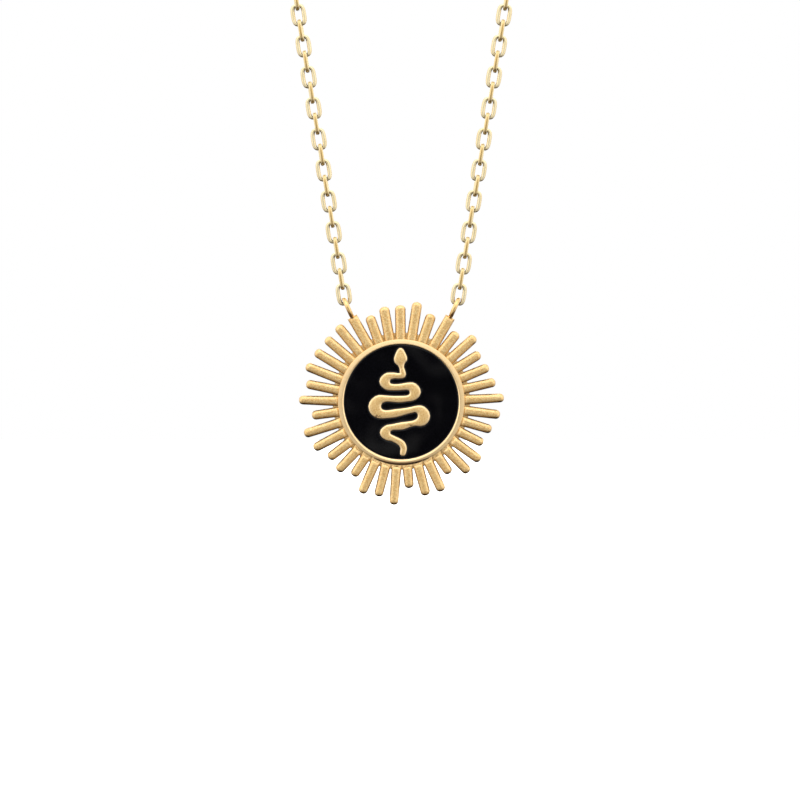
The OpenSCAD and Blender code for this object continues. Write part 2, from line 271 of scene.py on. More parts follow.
# Takes a drawing in mm, seen from the front with its origin at the disc's centre, to its place
UPRIGHT = Matrix.Rotation(math.radians(90), 4, "X")
IN_PENDANT = Matrix.Translation((0, 0, DISC_Z)) @ UPRIGHT @ Matrix.Scale(MM, 4)
casting_node = frame["nodes"]["pendant_casting"]
casting_points = np.array([IN_PENDANT.inverted() @ v.co for v in casting_node.data.vertices])


def skin(rings, looped=False):
    """Points and faces over rings of equally many points, with flat ends or looped from last to first."""
    count, size = len(rings), len(rings[0])
    faces = []
    for a in range(count if looped else count - 1):
        b = (a + 1) % count
        faces += [(a * size + i, a * size + (i + 1) % size, b * size + (i + 1) % size, b * size + i)
                  for i in range(size)]
    if not looped:
        faces += [tuple(reversed(range(size))), tuple(range((count - 1) * size, count * size))]
    return [p for ring in rings for p in ring], faces


def add_piece(name, points, faces, materials, looks=None, place=None):
    """A smooth-shaded mesh object. looks has the material's number for each face."""
    mesh = bpy.data.meshes.new(name)
    mesh.from_pydata([tuple(p) for p in points], [], faces)
    for material in materials:
        mesh.materials.append(material)
    if looks:
        mesh.polygons.foreach_set("material_index", looks)
    if place:
        mesh.transform(place)
    mesh.shade_smooth()
    mesh.set_sharp_from_angle(angle=SHARP_ANGLE)
    piece = bpy.data.objects.new(name, mesh)
    bpy.context.scene.collection.objects.link(piece)
    return piece


def ray_angle(i):
    """Angle of a ray from the top, clockwise, in radians."""
    return math.radians(EYE_RAYS.get(i, RAY_TURN + i * 360 / RAY_COUNT))


def ray_reach(angle):
    """Distance from the rays' centre to the end of the ray at this angle, read off the casting."""
    way = np.array([math.sin(angle), math.cos(angle)])
    from_centre = casting_points[:, :2] + [0, RAY_DROP]
    aside = abs(from_centre[:, 0] * way[1] - from_centre[:, 1] * way[0])
    return (from_centre @ way)[aside < RAY_ROOT_W / 3].max()


def ray_outline(reach, flat, tip_w, inset):
    """Points round a ray that points up, from the right of its root over its tip to the left."""
    end = reach if flat else reach - TIP_L
    sides = []
    for step in range(RAY_SIDE_STEPS + 1):
        share = (step / RAY_SIDE_STEPS) ** SIDE_CROWDING
        half = (RAY_ROOT_W + (tip_w - RAY_ROOT_W) * share) / 2 - inset
        sides.append((half, RAY_ROOT_R + (end - (inset if flat else 0) - RAY_ROOT_R) * share))
    tip = []
    for k in range(1, 1 if flat else RAY_TIP_STEPS):
        turn = math.pi * k / RAY_TIP_STEPS
        aside = math.copysign(abs(math.cos(turn)) ** (2 / TIP_SQUARE), math.cos(turn))
        beyond = math.sin(turn) ** (2 / TIP_SQUARE)
        tip.append(((tip_w / 2 - inset) * aside, end + (TIP_L - inset) * beyond))
    return sides + tip + [(-x, y) for x, y in reversed(sides)]


def ray_ring(points, angle, height, drop):
    """Points of a ray that points up, turned clockwise to its place. The height dips next to the rim."""
    s, c = math.sin(angle), math.cos(angle)
    deepest = ROOT_DIP - LOW_DIP * c
    ring = []
    for x, y in points:
        dip = math.exp(-((max(y - ROOT_DIP_R, 0) / ROOT_DIP_L) ** 2)) if height > DIP_FLOOR else 0
        sunk = deepest * dip * (height - DIP_FLOOR) / (RAY_TOP - DIP_FLOOR)
        ring.append((x * c + y * s, y * c - x * s - drop, height - sunk))
    return ring


def top_faces(first, size):
    """Faces across a ring that is alike on its two sides, from its root to its tip."""
    pairs = [(first + k, first + size - 1 - k) for k in range((size + 1) // 2)]
    faces = [(a, c, d, b) for (a, b), (c, d) in zip(pairs, pairs[1:])]
    return [tuple(dict.fromkeys(face)) for face in faces]


sun_parts = bpy.data.collections.new("sun_parts")
bpy.context.scene.collection.children.link(sun_parts)


def add_to_sun(piece):
    """Puts a piece among the solids that are fused into the casting."""
    bpy.context.scene.collection.objects.unlink(piece)
    sun_parts.objects.link(piece)


random.seed(37)
for i in range(RAY_COUNT):
    angle, flat = ray_angle(i), i in EYE_RAYS
    reach = EYE_RAY_R if flat else ray_reach(angle)
    tip_w = RAY_TIP_W + TOP_RAY_EXTRA * max(math.cos(angle), 0) ** 2
    tip_w *= random.uniform(1 - TIP_VARIES, 1 + TIP_VARIES)
    rings = [ray_ring(ray_outline(reach, flat, tip_w, inset), angle, height, 0 if flat else RAY_DROP)
             for inset, height in RAY_SECTION]
    points, faces = skin(rings)
    faces = faces[:-1] + top_faces(len(points) - len(rings[0]), len(rings[0]))
    add_to_sun(add_piece(f"ray_{i}", points, faces, casting_finishes))

# The plate behind the enamel and its web between the rays.
# A disc of the same casting, which fills the roots of the rays. Its edge is scalloped, so that each slot
# between two rays has a round end.
WEB_TOP = 0.29
# Distance from the rays' centre to the slots' ends, and how much more it is at the top of the sun
SLOT_R, SLOT_RISE = 7.05, 0.2
SLOT_STEPS = 12
# Columns: inset from the scalloped edge, height
WEB_EDGE = [(0.20, BACK_Z), (0.08, BACK_Z), (0.02, BACK_Z + 0.03), (0, BACK_Z + 0.09), (0, WEB_TOP - 0.12),
            (0.03, WEB_TOP - 0.05), (0.09, WEB_TOP - 0.01), (0.16, WEB_TOP), (0.28, WEB_TOP)]


def web_angle(i):
    """Angle of a ray's root from the top, clockwise from 0 to a full turn, seen from the rays' centre."""
    angle = ray_angle(i % RAY_COUNT)
    if i % RAY_COUNT in EYE_RAYS:
        angle = math.atan2(SLOT_R * math.sin(angle), SLOT_R * math.cos(angle) + RAY_DROP)
    return angle % (2 * math.pi)


web_line = []
for i in range(RAY_COUNT):
    start, end = web_angle(i), web_angle(i + 1)
    end += 2 * math.pi if end < start else 0
    slot_r = SLOT_R + SLOT_RISE * math.cos((start + end) / 2)
    slot_half = slot_r * math.sin((end - start) / 2) - RAY_ROOT_W / 2
    for step in range(SLOT_STEPS):
        angle = start + (end - start) * step / SLOT_STEPS
        aside = min(abs(angle - (start + end) / 2) * slot_r, slot_half)
        web_line.append((angle, slot_r + slot_half - math.sqrt(slot_half ** 2 - aside ** 2)))
rings = []
for inset, height in WEB_EDGE:
    rings.append([((r - inset) * math.sin(a), (r - inset) * math.cos(a) - RAY_DROP, height)
                  for a, r in reversed(web_line)])
points, faces = skin(rings)
# The flat back and top are fans of triangles round a middle point
size = len(web_line)
middle = len(points)
points += [(0, -RAY_DROP, BACK_Z), (0, -RAY_DROP, WEB_TOP)]
faces = faces[:-2] + [((k + 1) % size, k, middle) for k in range(size)]
faces += [(middle - size + k, middle - size + (k + 1) % size, middle + 1) for k in range(size)]
plate = add_piece("sun_casting", points, faces, casting_finishes)

# The rim.
# A wall round the enamel, cast with the plate, filed by hand and polished. A narrow bevel leads up from the
# enamel to its crest, and a broad one falls away outwards. It is narrowest at the bottom.
RIM_STEPS = 240
DISC_R = 5.92
# Width of the rim at its sides, and what its rise to the top and the square of that rise add
RIM_W, RIM_W_RISE, RIM_W_SQUARE = 0.62, 0.06, -0.13
# Distance from the disc's edge to the crest at the sides, and how much less it is at the top
CREST_AT, CREST_RISE = 0.15, 0.09
# Columns: share of the way from the disc's edge to the crest, height
INNER_BEVEL = [(0, 0.1), (0, 0.605), (0.06, 0.625), (0.2, 0.642), (0.48, 0.668), (0.72, 0.688),
               (0.86, 0.697), (1, 0.70)]
# Columns: share of the way from the crest to the outer edge, height
OUTER_BEVEL = [(0.14, 0.692), (0.37, 0.674), (0.6, 0.652), (0.8, 0.631), (0.92, 0.612), (0.975, 0.57),
               (1, 0.48), (1, 0.1)]


def rim_width(angle):
    """Width of the rim at an angle from +X."""
    rise = math.sin(angle)
    return RIM_W + RIM_W_RISE * rise + RIM_W_SQUARE * rise ** 2


rings = []
for step in range(RIM_STEPS):
    angle = 2 * math.pi * step / RIM_STEPS
    crest, width = CREST_AT - CREST_RISE * math.sin(angle), rim_width(angle)
    section = [(crest * share, z) for share, z in INNER_BEVEL]
    section += [(crest + (width - crest) * share, z) for share, z in OUTER_BEVEL]
    rings.append([((DISC_R + r) * math.cos(angle), (DISC_R + r) * math.sin(angle), z) for r, z in section])
points, faces = skin(rings, looped=True)
add_to_sun(add_piece("rim", points, faces, casting_finishes, [POLISHED] * len(faces)))

# The groove under the rim.
# A narrow hollow that the file left in the casting along the rim's foot, at the bottom of the sun. It is
# coloured a dull brown-black, as painted shade along the rim's lower edge.
GROOVE_STEPS = 48
# Width in the middle and at the ends
GROOVE_W, GROOVE_END_W = 0.18, 0.03
# Heights of its floor in the middle and at its ends
GROOVE_FLOOR, GROOVE_END_FLOOR = 0.2, 0.5
# Height where its mouth starts to widen, and the widths of its floor and of its mouth as shares
GROOVE_MOUTH_Z = 0.52
GROOVE_FLOOR_SHARE, GROOVE_MOUTH_SHARE = 0.85, 1.2
# It is cut from this height, which is above all the metal
GROOVE_TOP = 0.8
# How far it cuts into the rim's outer wall
GROOVE_BITE = 0.008
# It runs this far to each side of the lowest point
GROOVE_HALF_TURN = math.radians(34)
rings = []
for step in range(GROOVE_STEPS + 1):
    share = 2 * step / GROOVE_STEPS - 1
    angle = -math.pi / 2 + share * GROOVE_HALF_TURN
    inner = DISC_R + rim_width(angle) - GROOVE_BITE
    width = GROOVE_END_W + (GROOVE_W - GROOVE_END_W) * (1 - share ** 2)
    floor_z = GROOVE_FLOOR + (GROOVE_END_FLOOR - GROOVE_FLOOR) * share ** 2
    section = [(inner, floor_z), (inner, GROOVE_TOP), (inner + width * GROOVE_MOUTH_SHARE, GROOVE_TOP),
               (inner + width, GROOVE_MOUTH_Z), (inner + width * GROOVE_FLOOR_SHARE, floor_z)]
    rings.append([(r * math.cos(angle), r * math.sin(angle), z) for r, z in section])
points, faces = skin(rings)
groove = add_piece("groove", points, faces, casting_finishes, [GROOVE_SHADE] * len(faces))

# The snake.
# Raised on the plate in the same casting, with a flat sand-blasted top and a polished bevel all round it.
# Its outline is read off the frame: it is the edge of the casting's flat faces at the snake's height.
SNAKE_TOP = 0.66
# Columns: inset from the snake's outline, height
SNAKE_SECTION = [(0, 0.1), (0, 0.52), (0.015, 0.56), (0.045, 0.595), (0.085, 0.62), (0.125, 0.638),
                 (0.165, 0.651), (0.195, SNAKE_TOP)]
# A face is part of the snake's top if it is this near that height and this far inside the rim
SNAKE_TOP_NEAR, SNAKE_TO_RIM = 0.002, 0.1


def snake_outline():
    """The snake's outline as a loop of points, counter-clockwise."""
    at = [tuple(round(float(c), 4) for c in p) for p in casting_points]
    sides = set()
    for face in casting_node.data.polygons:
        corners = [at[v] for v in face.vertices]
        if all(abs(z - SNAKE_TOP) < SNAKE_TOP_NEAR and math.hypot(x, y) < DISC_R - SNAKE_TO_RIM
               for x, y, z in corners):
            sides.update((a[:2], b[:2]) for a, b in zip(corners, corners[1:] + corners[:1]))
    following = {a: b for a, b in sides if (b, a) not in sides}
    loop = [min(following)]
    while following[loop[-1]] != loop[0]:
        loop.append(following[loop[-1]])
    return [Vector(p) for p in loop]


def inset_loop(loop, inset):
    """A counter-clockwise loop moved inwards."""
    moved = []
    for i, p in enumerate(loop):
        before, after = (p - loop[i - 1]).normalized(), (loop[(i + 1) % len(loop)] - p).normalized()
        inwards = Vector((-before.y - after.y, before.x + after.x))
        moved.append(p + inset * inwards / max(inwards.length_squared / 2, 1))
    return moved


snake_line = snake_outline()
rings = [[(p.x, p.y, height) for p in inset_loop(snake_line, inset)] for inset, height in SNAKE_SECTION]
points, faces = skin(rings)
looks = [POLISHED] * (len(faces) - 1) + [SATIN]
add_to_sun(add_piece("snake", points, faces, casting_finishes, looks))

# The two eyes.
# Round rings of brass wire, soldered edge-on to the flat rays and plated with the rest, so that the pendant
# hangs square to the chain. Each one holds the last link of its strand.
EYE_WIRE_R = 0.24
EYE_R = 1.0
# How far an eye leans outwards from upright
EYE_LEAN = math.radians(24.5)
EYE_STEPS = 72
WIRE_SIDES = 18
WIRE_TURNS = [2 * math.pi * k / WIRE_SIDES for k in range(WIRE_SIDES)]


def wire_rings(centre, along, across, radius, wire_r, steps, cut=0.0):
    """Rings of points round a wire bent to a circle in the plane of two unit vectors, less a cut."""
    axis = along.cross(across)
    rings = []
    for step in range(steps + 1 if cut else steps):
        turn = cut / 2 + (2 * math.pi - cut) * step / steps
        out = math.cos(turn) * along + math.sin(turn) * across
        rings.append([centre + radius * out + wire_r * (math.cos(t) * out - math.sin(t) * axis)
                      for t in WIRE_TURNS])
    return rings


ray_turn = math.radians(EYE_RAY_TURN)
for side in (-1, 1):
    up = Vector((side * math.sin(EYE_LEAN), math.cos(EYE_LEAN), 0))
    foot = EYE_RAY_R * Vector((side * math.sin(ray_turn), math.cos(ray_turn), 0))
    rings = wire_rings(foot + EYE_R * up, up, Vector((0, 0, 1)), EYE_R, EYE_WIRE_R, EYE_STEPS)
    points, faces = skin(rings, looped=True)
    add_to_sun(add_piece(f"eye_{side}", points, faces, casting_finishes, [BURNISHED] * len(faces)))

# The casting.
# Rays, plate, rim, snake and eyes are fused into one body, as the real pendant is one piece of metal, and
# the groove is cut into it.
fuse = plate.modifiers.new("fuse", "BOOLEAN")
fuse.operation, fuse.solver, fuse.material_mode = "UNION", "MANIFOLD", "TRANSFER"
fuse.operand_type, fuse.collection = "COLLECTION", sun_parts
cut = plate.modifiers.new("cut", "BOOLEAN")
cut.operation, cut.solver, cut.material_mode, cut.object = "DIFFERENCE", "MANIFOLD", "TRANSFER", groove
bpy.context.view_layer.update()
fused = bpy.data.meshes.new_from_object(plate.evaluated_get(bpy.context.evaluated_depsgraph_get()))
plate.modifiers.clear()
plate.data = fused
# Points that lie this near each other are welded, and faces with many corners are cut into triangles. Both
# are done while the mesh is still in mm, so that no sliver turns over.
WELD = 0.0001
facets = bmesh.new()
facets.from_mesh(fused)
bmesh.ops.remove_doubles(facets, verts=facets.verts, dist=WELD)
bmesh.ops.triangulate(facets, faces=[face for face in facets.faces if len(face.verts) > 4])
facets.to_mesh(fused)
facets.free()
fused.transform(IN_PENDANT)
for part in [groove, *sun_parts.objects]:
    bpy.data.objects.remove(part)
bpy.data.collections.remove(sun_parts)
fused.shade_smooth()
fused.set_sharp_from_angle(angle=SHARP_ANGLE)
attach(plate, "pendant")
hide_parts("pendant_casting")

# The enamel.
# Black soft enamel, flowed into the disc round the snake and cured. It lies a little below the metal and
# creeps up it in a thin meniscus. It has a wet gloss over a black body.
ENAMEL_TOP, ENAMEL_BOTTOM = 0.52, WEB_TOP + 0.02
# How far it stays off the metal
ENAMEL_GAP = 0.012
MENISCUS_H, MENISCUS_W = 0.03, 0.03
# Distances from the metal of the rows that shape the meniscus, and spacing of the points between them
MENISCUS_ROWS = [0, 0.02, 0.05, 0.10, 0.22]
ENAMEL_STEP = 0.42
RIM_POINTS = 180

# Cured enamel: a black body under a clear gloss, with a faint ripple 8 mm from crest to crest
RIPPLE_MM = 8
black_enamel, tree = new_material("black_soft_enamel")
place = add_node(tree, "ShaderNodeTexCoord").outputs["Object"]
ripple = add_node(tree, "ShaderNodeTexNoise", {"Vector": place, "Scale": per_metre(RIPPLE_MM), "Detail": 1})
body_colour = add_node(tree, "ShaderNodeMix", {0: ripple.outputs["Fac"], MIX_A: linear("#010102"),
                                               MIX_B: linear("#060609")}, data_type="RGBA")
enamel_bump = add_node(tree, "ShaderNodeBump", {"Height": ripple.outputs["Fac"], "Strength": 0.5,
                                                "Distance": 0.0015})
enamel_rough = add_node(tree, "ShaderNodeMapRange", {"Value": ripple.outputs["Fac"], "To Min": 0.05,
                                                     "To Max": 0.11})
gloss = add_node(tree, "ShaderNodeBsdfPrincipled", {
    "Base Color": body_colour.outputs[MIX_OUT], "Roughness": enamel_rough.outputs[0], "IOR": 1.5,
    "Normal": enamel_bump.outputs[0]})
add_node(tree, "ShaderNodeOutputMaterial", {"Surface": gloss.outputs[0]})

rim_line = []
for k in range(RIM_POINTS):
    turn = 2 * math.pi * k / RIM_POINTS
    rim_line.append(DISC_R * Vector((math.cos(turn), math.sin(turn))))
flat_points, metal_edges = [], []
for row in MENISCUS_ROWS:
    for loop in (inset_loop(rim_line, row + ENAMEL_GAP), inset_loop(snake_line, -row - ENAMEL_GAP)):
        first = len(flat_points)
        if row == 0:
            metal_edges += [(first + k, first + (k + 1) % len(loop)) for k in range(len(loop))]
        flat_points += loop


def metal_distance(p):
    """Distance from a point of the enamel to the nearest metal."""
    return min(DISC_R - p.length, min((p - q).length for q in snake_line))


grid_half = int(DISC_R / ENAMEL_STEP) + 1
for i in range(-grid_half, grid_half + 1):
    for k in range(-grid_half, grid_half + 1):
        p = Vector((i + k % 2 / 2, k)) * ENAMEL_STEP
        if p.length < DISC_R and metal_distance(p) > MENISCUS_ROWS[-1] + ENAMEL_STEP / 4:
            flat_points.append(p)
# The triangles lie inside the rim and outside the snake, and points this near each other count as one
INSIDE_WITH_HOLES = 2
ONE_POINT = 1e-6
flat_points, _, flat_faces, *_ = geometry.delaunay_2d_cdt(flat_points, metal_edges, [], INSIDE_WITH_HOLES,
                                                          ONE_POINT)
count = len(flat_points)
top = [(p.x, p.y, ENAMEL_TOP + MENISCUS_H * math.exp(-max(metal_distance(p), 0) / MENISCUS_W))
       for p in flat_points]
bottom = [(p.x, p.y, ENAMEL_BOTTOM) for p in flat_points]
used = {(a, b) for face in flat_faces for a, b in zip(face, face[1:] + face[:1])}
walls = [(b, a, a + count, b + count) for a, b in used if (b, a) not in used]
faces = flat_faces + [[v + count for v in reversed(face)] for face in flat_faces] + sorted(walls)
enamel = add_piece("enamel_fill", top + bottom, faces, [black_enamel], place=IN_PENDANT)
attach(enamel, "pendant")
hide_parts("enamel")

# The chain.
# Cable chain of oval links, 116 in each half. Each link is round brass wire, bent, hooked through the last
# one, soldered shut, and flattened a little by the rolls before plating, so it shows a soft bright band.
LINK_COUNT = 116
LINK_PITCH = 1.62
LINK_WIRE_R = 0.21
# The wire is thinner where a link's ends were pressed round
LINK_END_R = 0.165
# Distance from a strand's foot to the middle of its first link
FIRST_LINK = 1.075
# Distances from a link's middle to the wire's centre at its ends and its sides. The links hang on each
# other, with a gap that doesn't show.
LINK_GAP = 0.01
LINK_REACH = (LINK_PITCH + 2 * LINK_END_R + LINK_GAP) / 2
LINK_SIDE = 0.57
# How square the oval is
LINK_OVAL = 3.4
# Half width of the rolled wire across the link's face, and how square its section is
LINK_FLAT_R = 0.215
LINK_SQUARE = 2.7
LINK_STEPS, LINK_SIDES = 44, 14
# Distances from the place where two links touch, at which the painted shade is whole and where it
# ends, at the link's upper end and at its lower end
UPPER_HOOK_SHADE, LOWER_HOOK_SHADE = (0.2, 0.36), (0.28, 0.46)
# The wire's edges along the link's sides are painted a deeper yellow, as painted shade beside the bright
# band on its faces, and the paint ends this sharply
EDGE_SHARPNESS = 3
# A link turns out of true by up to this much
LINK_TWIST = math.radians(5)
# The strands lean outwards from feet this far from the middle, and meet a round top of this radius
STRAND_LEAN = math.radians(9.2)
STRAND_FOOT = 5.749
LOOP_R = 28.961
strand_length = (LOOP_R * math.cos(STRAND_LEAN) - STRAND_FOOT) / math.sin(STRAND_LEAN)
hinge_z = frame["joints"][0]["pos_m"][2] / MM
loop_z = hinge_z + strand_length * math.cos(STRAND_LEAN) + LOOP_R * math.sin(STRAND_LEAN)

# Bright plate on rolled wire: paler than the casting's, with a soft shine. The marks that the wire kept
# from its dies are 0.02 mm wide, and are made 0.08 mm wide here, the least that shows.
DIE_MARK_MM = 0.08
chain_gold, tree = new_material("bright_gold_plated_wire")
place = add_node(tree, "ShaderNodeTexCoord").outputs["Object"]
die_marks = add_node(tree, "ShaderNodeTexNoise", {
    "Vector": place, "Scale": per_metre(DIE_MARK_MM), "Detail": 2})
tone = add_node(tree, "ShaderNodeTexNoise", {"Vector": place, "Scale": per_metre(CLOUD_MM), "Detail": 1})
wire_colour = add_node(tree, "ShaderNodeMix", {0: tone.outputs["Fac"], MIX_A: linear("#EADAAD"),
                                               MIX_B: linear("#F5EACB")}, data_type="RGBA")
# Painted shade: the wire's edges along the link's sides are painted a deeper yellow
edge = add_node(tree, "ShaderNodeAttribute", attribute_name="edge")
edge_shaded_colour = add_node(tree, "ShaderNodeMix", {0: edge.outputs["Fac"], MIX_A: wire_colour.outputs[MIX_OUT],
                                               MIX_B: linear("#CBAA69")}, data_type="RGBA")
# Painted shade: the wire is painted near black where two links hook through each other
hook_shade = add_node(tree, "ShaderNodeAttribute", attribute_name="hook_shade")
hook_shaded_colour = add_node(tree, "ShaderNodeMix", {
    0: hook_shade.outputs["Fac"], MIX_A: edge_shaded_colour.outputs[MIX_OUT], MIX_B: linear("#1E1408")},
    data_type="RGBA")
wire_rough = add_node(tree, "ShaderNodeMapRange", {"Value": die_marks.outputs["Fac"], "To Min": 0.3,
                                                   "To Max": 0.42})
wire_bump = add_node(tree, "ShaderNodeBump", {"Height": die_marks.outputs["Fac"], "Strength": 0.08,
                                              "Distance": 0.00003})
wire = add_node(tree, "ShaderNodeBsdfPrincipled", {
    "Base Color": hook_shaded_colour.outputs[MIX_OUT], "Metallic": 1, "Roughness": wire_rough.outputs[0],
    "Normal": wire_bump.outputs[0]})
add_node(tree, "ShaderNodeOutputMaterial", {"Surface": wire.outputs[0]})


def chain_place(along):
    """A point of the right half's line, in mm, and its direction, at a distance from the strand's foot."""
    if along <= strand_length:
        way = Vector((math.sin(STRAND_LEAN), 0, math.cos(STRAND_LEAN)))
        return Vector((STRAND_FOOT, 0, hinge_z)) + along * way, way
    turn = (along - strand_length) / LOOP_R - STRAND_LEAN
    return (Vector((LOOP_R * math.cos(turn), 0, loop_z + LOOP_R * math.sin(turn))),
            Vector((-math.sin(turn), 0, math.cos(turn))))


# Angles round the wire, and how far its section reaches there compared with a round one
link_section = []
for k in range(LINK_SIDES):
    turn = 2 * math.pi * (k + 0.5) / LINK_SIDES
    corner = abs(math.cos(turn)) ** LINK_SQUARE + abs(math.sin(turn)) ** LINK_SQUARE
    link_section.append((turn, corner ** (-1 / LINK_SQUARE)))


def link_rings(centre, up, across):
    """The rings of points round one oval link's wire."""
    depth = across.cross(up)
    rings = []
    for step in range(LINK_STEPS):
        turn = 2 * math.pi * step / LINK_STEPS
        c, s = math.cos(turn), math.sin(turn)
        spread = math.copysign(abs(c) ** (2 / LINK_OVAL), c) * LINK_SIDE
        rise = math.copysign(abs(s) ** (2 / LINK_OVAL), s) * LINK_REACH
        slope = 2 - 2 / LINK_OVAL
        out = (math.copysign(abs(c) ** slope, c) / LINK_SIDE * across
               + math.copysign(abs(s) ** slope, s) / LINK_REACH * up).normalized()
        wire_at = centre + spread * across + rise * up
        flat_r = LINK_END_R + (LINK_FLAT_R - LINK_END_R) * abs(c)
        rings.append([wire_at + bulge * (flat_r * math.cos(t) * out - LINK_WIRE_R * math.sin(t) * depth)
                      for t, bulge in link_section])
    return rings


def hook_shade_share(distance, whole, ends):
    """Share of painted shade on the wire at a distance in mm from the place where two links touch."""
    return min(max((ends - distance) / (ends - whole), 0), 1)


for name, side in (("chain_left", -1), ("chain_right", 1)):
    random.seed(side + 2)
    points, faces, hook_shade_shares = [], [], []
    for i in range(LINK_COUNT):
        centre, up = chain_place(FIRST_LINK + i * LINK_PITCH)
        # The first link hangs square in the eye, and every second one stands edge-on
        twist = random.uniform(-LINK_TWIST, LINK_TWIST) * min(i, 1) + (math.pi / 2 if i % 2 else 0)
        across = Matrix.Rotation(twist, 3, up) @ up.cross(Vector((0, -1, 0)))
        centre, up, across = (Vector((side * v.x, v.y, v.z)) for v in (centre, up, across))
        link_points, link_faces = skin(link_rings(centre, up, across), looped=True)
        faces += [tuple(v + len(points) for v in face) for face in link_faces]
        points += link_points
        # Shares of the painted shade near the two places where this link hooks through its neighbours
        upper, lower = centre + up * LINK_PITCH / 2, centre - up * LINK_PITCH / 2
        hook_shade_shares += [max(hook_shade_share((p - upper).length, *UPPER_HOOK_SHADE),
                             hook_shade_share((p - lower).length, *LOWER_HOOK_SHADE)) for p in link_points]
    chain = add_piece(f"cable_{name}", points, faces, [chain_gold], place=Matrix.Scale(MM, 4))
    chain.data.attributes.new("hook_shade", "FLOAT", "POINT").data.foreach_set("value", hook_shade_shares)
    # Shares of the painted shade on the wire's edges
    edge_shade_shares = [abs(math.cos(t)) ** EDGE_SHARPNESS * abs(math.cos(2 * math.pi * step / LINK_STEPS))
                   for step in range(LINK_STEPS) for t, _ in link_section] * LINK_COUNT
    chain.data.attributes.new("edge", "FLOAT", "POINT").data.foreach_set("value", edge_shade_shares)
    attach(chain, "chain")
    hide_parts(name)

# The jump rings.
# Two rings of round gold plated brass wire, bent shut over the last links and left unsoldered, so each has
# a fine cut across it.
JUMP_WIRE_R = 0.225
JUMP_CUT = math.radians(3)
JUMP_STEPS = 60
UP = Vector((0, 0, 1))
for side, name in ((-1, "jump_ring_left"), (1, "jump_ring_right")):
    low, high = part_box(name)
    centre, radius = (low + high) / 2 / MM, (high.z - low.z) / 2 / MM - JUMP_WIRE_R
    rings = wire_rings(centre, Vector((side, 0, 0)), UP, radius, JUMP_WIRE_R, JUMP_STEPS, JUMP_CUT)
    ring = add_piece(f"open_{name}", *skin(rings), [chain_gold], place=Matrix.Scale(MM, 4))
    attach(ring, "chain")
    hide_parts(name)

# The clasp.
# A ring clasp of bent brass tube, plated with gold. Its gate is a thinner wire that slides inside the tube
# and is drawn back by a small stud, and a soldered eye holds the left jump ring.
CLASP_R, CLASP_TUBE_R = 2.45, 0.55
ARC_STEP, LEAST_STEPS = math.radians(4), 8
# Rounding of the tube's two lips, at the gate
LIP = 0.10
# The gate's wire shows between these angles from the eye, and goes on into the tube by GATE_INSIDE
GATE_R = 0.34
GATE_START, GATE_END = math.radians(35), math.radians(68)
GATE_INSIDE = 0.2
CLASP_EYE_R, CLASP_EYE_WIRE_R = 0.85, 0.25
# How far the eye is sunk into the tube
CLASP_EYE_SINK = 0.2
CLASP_EYE_STEPS = 48
STUD_TURN = math.radians(125)
# Columns: distance from the tube's centre line, radius of the stud
STUD_SECTION = [(0, 0.2), (0.5, 0.2), (0.62, 0.17), (0.85, 0.17), (0.95, 0.23), (1.05, 0.25), (1.15, 0.25),
                (1.22, 0.2), (1.25, 0.12)]
clasp_low, clasp_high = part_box("clasp")
clasp_z = (clasp_low.z + clasp_high.z) / 2 / MM
clasp_centre = Vector((clasp_high.x / MM - CLASP_R - CLASP_TUBE_R, 0, clasp_z))
AWAY, BACK = Vector((-1, 0, 0)), Vector((0, 1, 0))
clasp_parts = []


def clasp_arc(start, end, radius_at):
    """Rings of points along the clasp's round tube, with its radius worked out at each step."""
    steps = max(LEAST_STEPS, int((end - start) / ARC_STEP))
    rings = []
    for step in range(steps + 1):
        turn = start + (end - start) * step / steps
        out = math.cos(turn) * AWAY + math.sin(turn) * BACK
        radius = radius_at(turn - start, end - turn)
        rings.append([clasp_centre + CLASP_R * out + radius * (math.cos(t) * out + math.sin(t) * UP)
                      for t in WIRE_TURNS])
    return rings


def tube_radius(from_start, to_end):
    """Radius of the tube, rounded over at its two lips."""
    near = min(from_start, to_end) * CLASP_R
    return CLASP_TUBE_R - LIP * max(0, 1 - near / LIP) ** 2


clasp_parts.append(skin(clasp_arc(GATE_END, 2 * math.pi + GATE_START, tube_radius)))
clasp_parts.append(skin(clasp_arc(GATE_START - GATE_INSIDE, GATE_END + GATE_INSIDE, lambda a, b: GATE_R)))
eye_centre = clasp_centre + (CLASP_R + CLASP_TUBE_R + CLASP_EYE_R - CLASP_EYE_SINK) * AWAY
clasp_parts.append(skin(wire_rings(eye_centre, AWAY, BACK, CLASP_EYE_R, CLASP_EYE_WIRE_R, CLASP_EYE_STEPS),
                        looped=True))
stud_way = math.cos(STUD_TURN) * AWAY + math.sin(STUD_TURN) * BACK
stud_side = stud_way.cross(UP)
rings = []
for out, radius in STUD_SECTION:
    middle = clasp_centre + (CLASP_R + out) * stud_way
    rings.append([middle + radius * (math.cos(t) * stud_side + math.sin(t) * UP) for t in WIRE_TURNS])
clasp_parts.append(skin(rings))
points, faces = [], []
for part_points, part_faces in clasp_parts:
    faces += [tuple(v + len(points) for v in face) for face in part_faces]
    points += part_points
clasp = add_piece("ring_clasp", points, faces, [chain_gold], place=Matrix.Scale(MM, 4))
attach(clasp, "chain")
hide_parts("clasp")

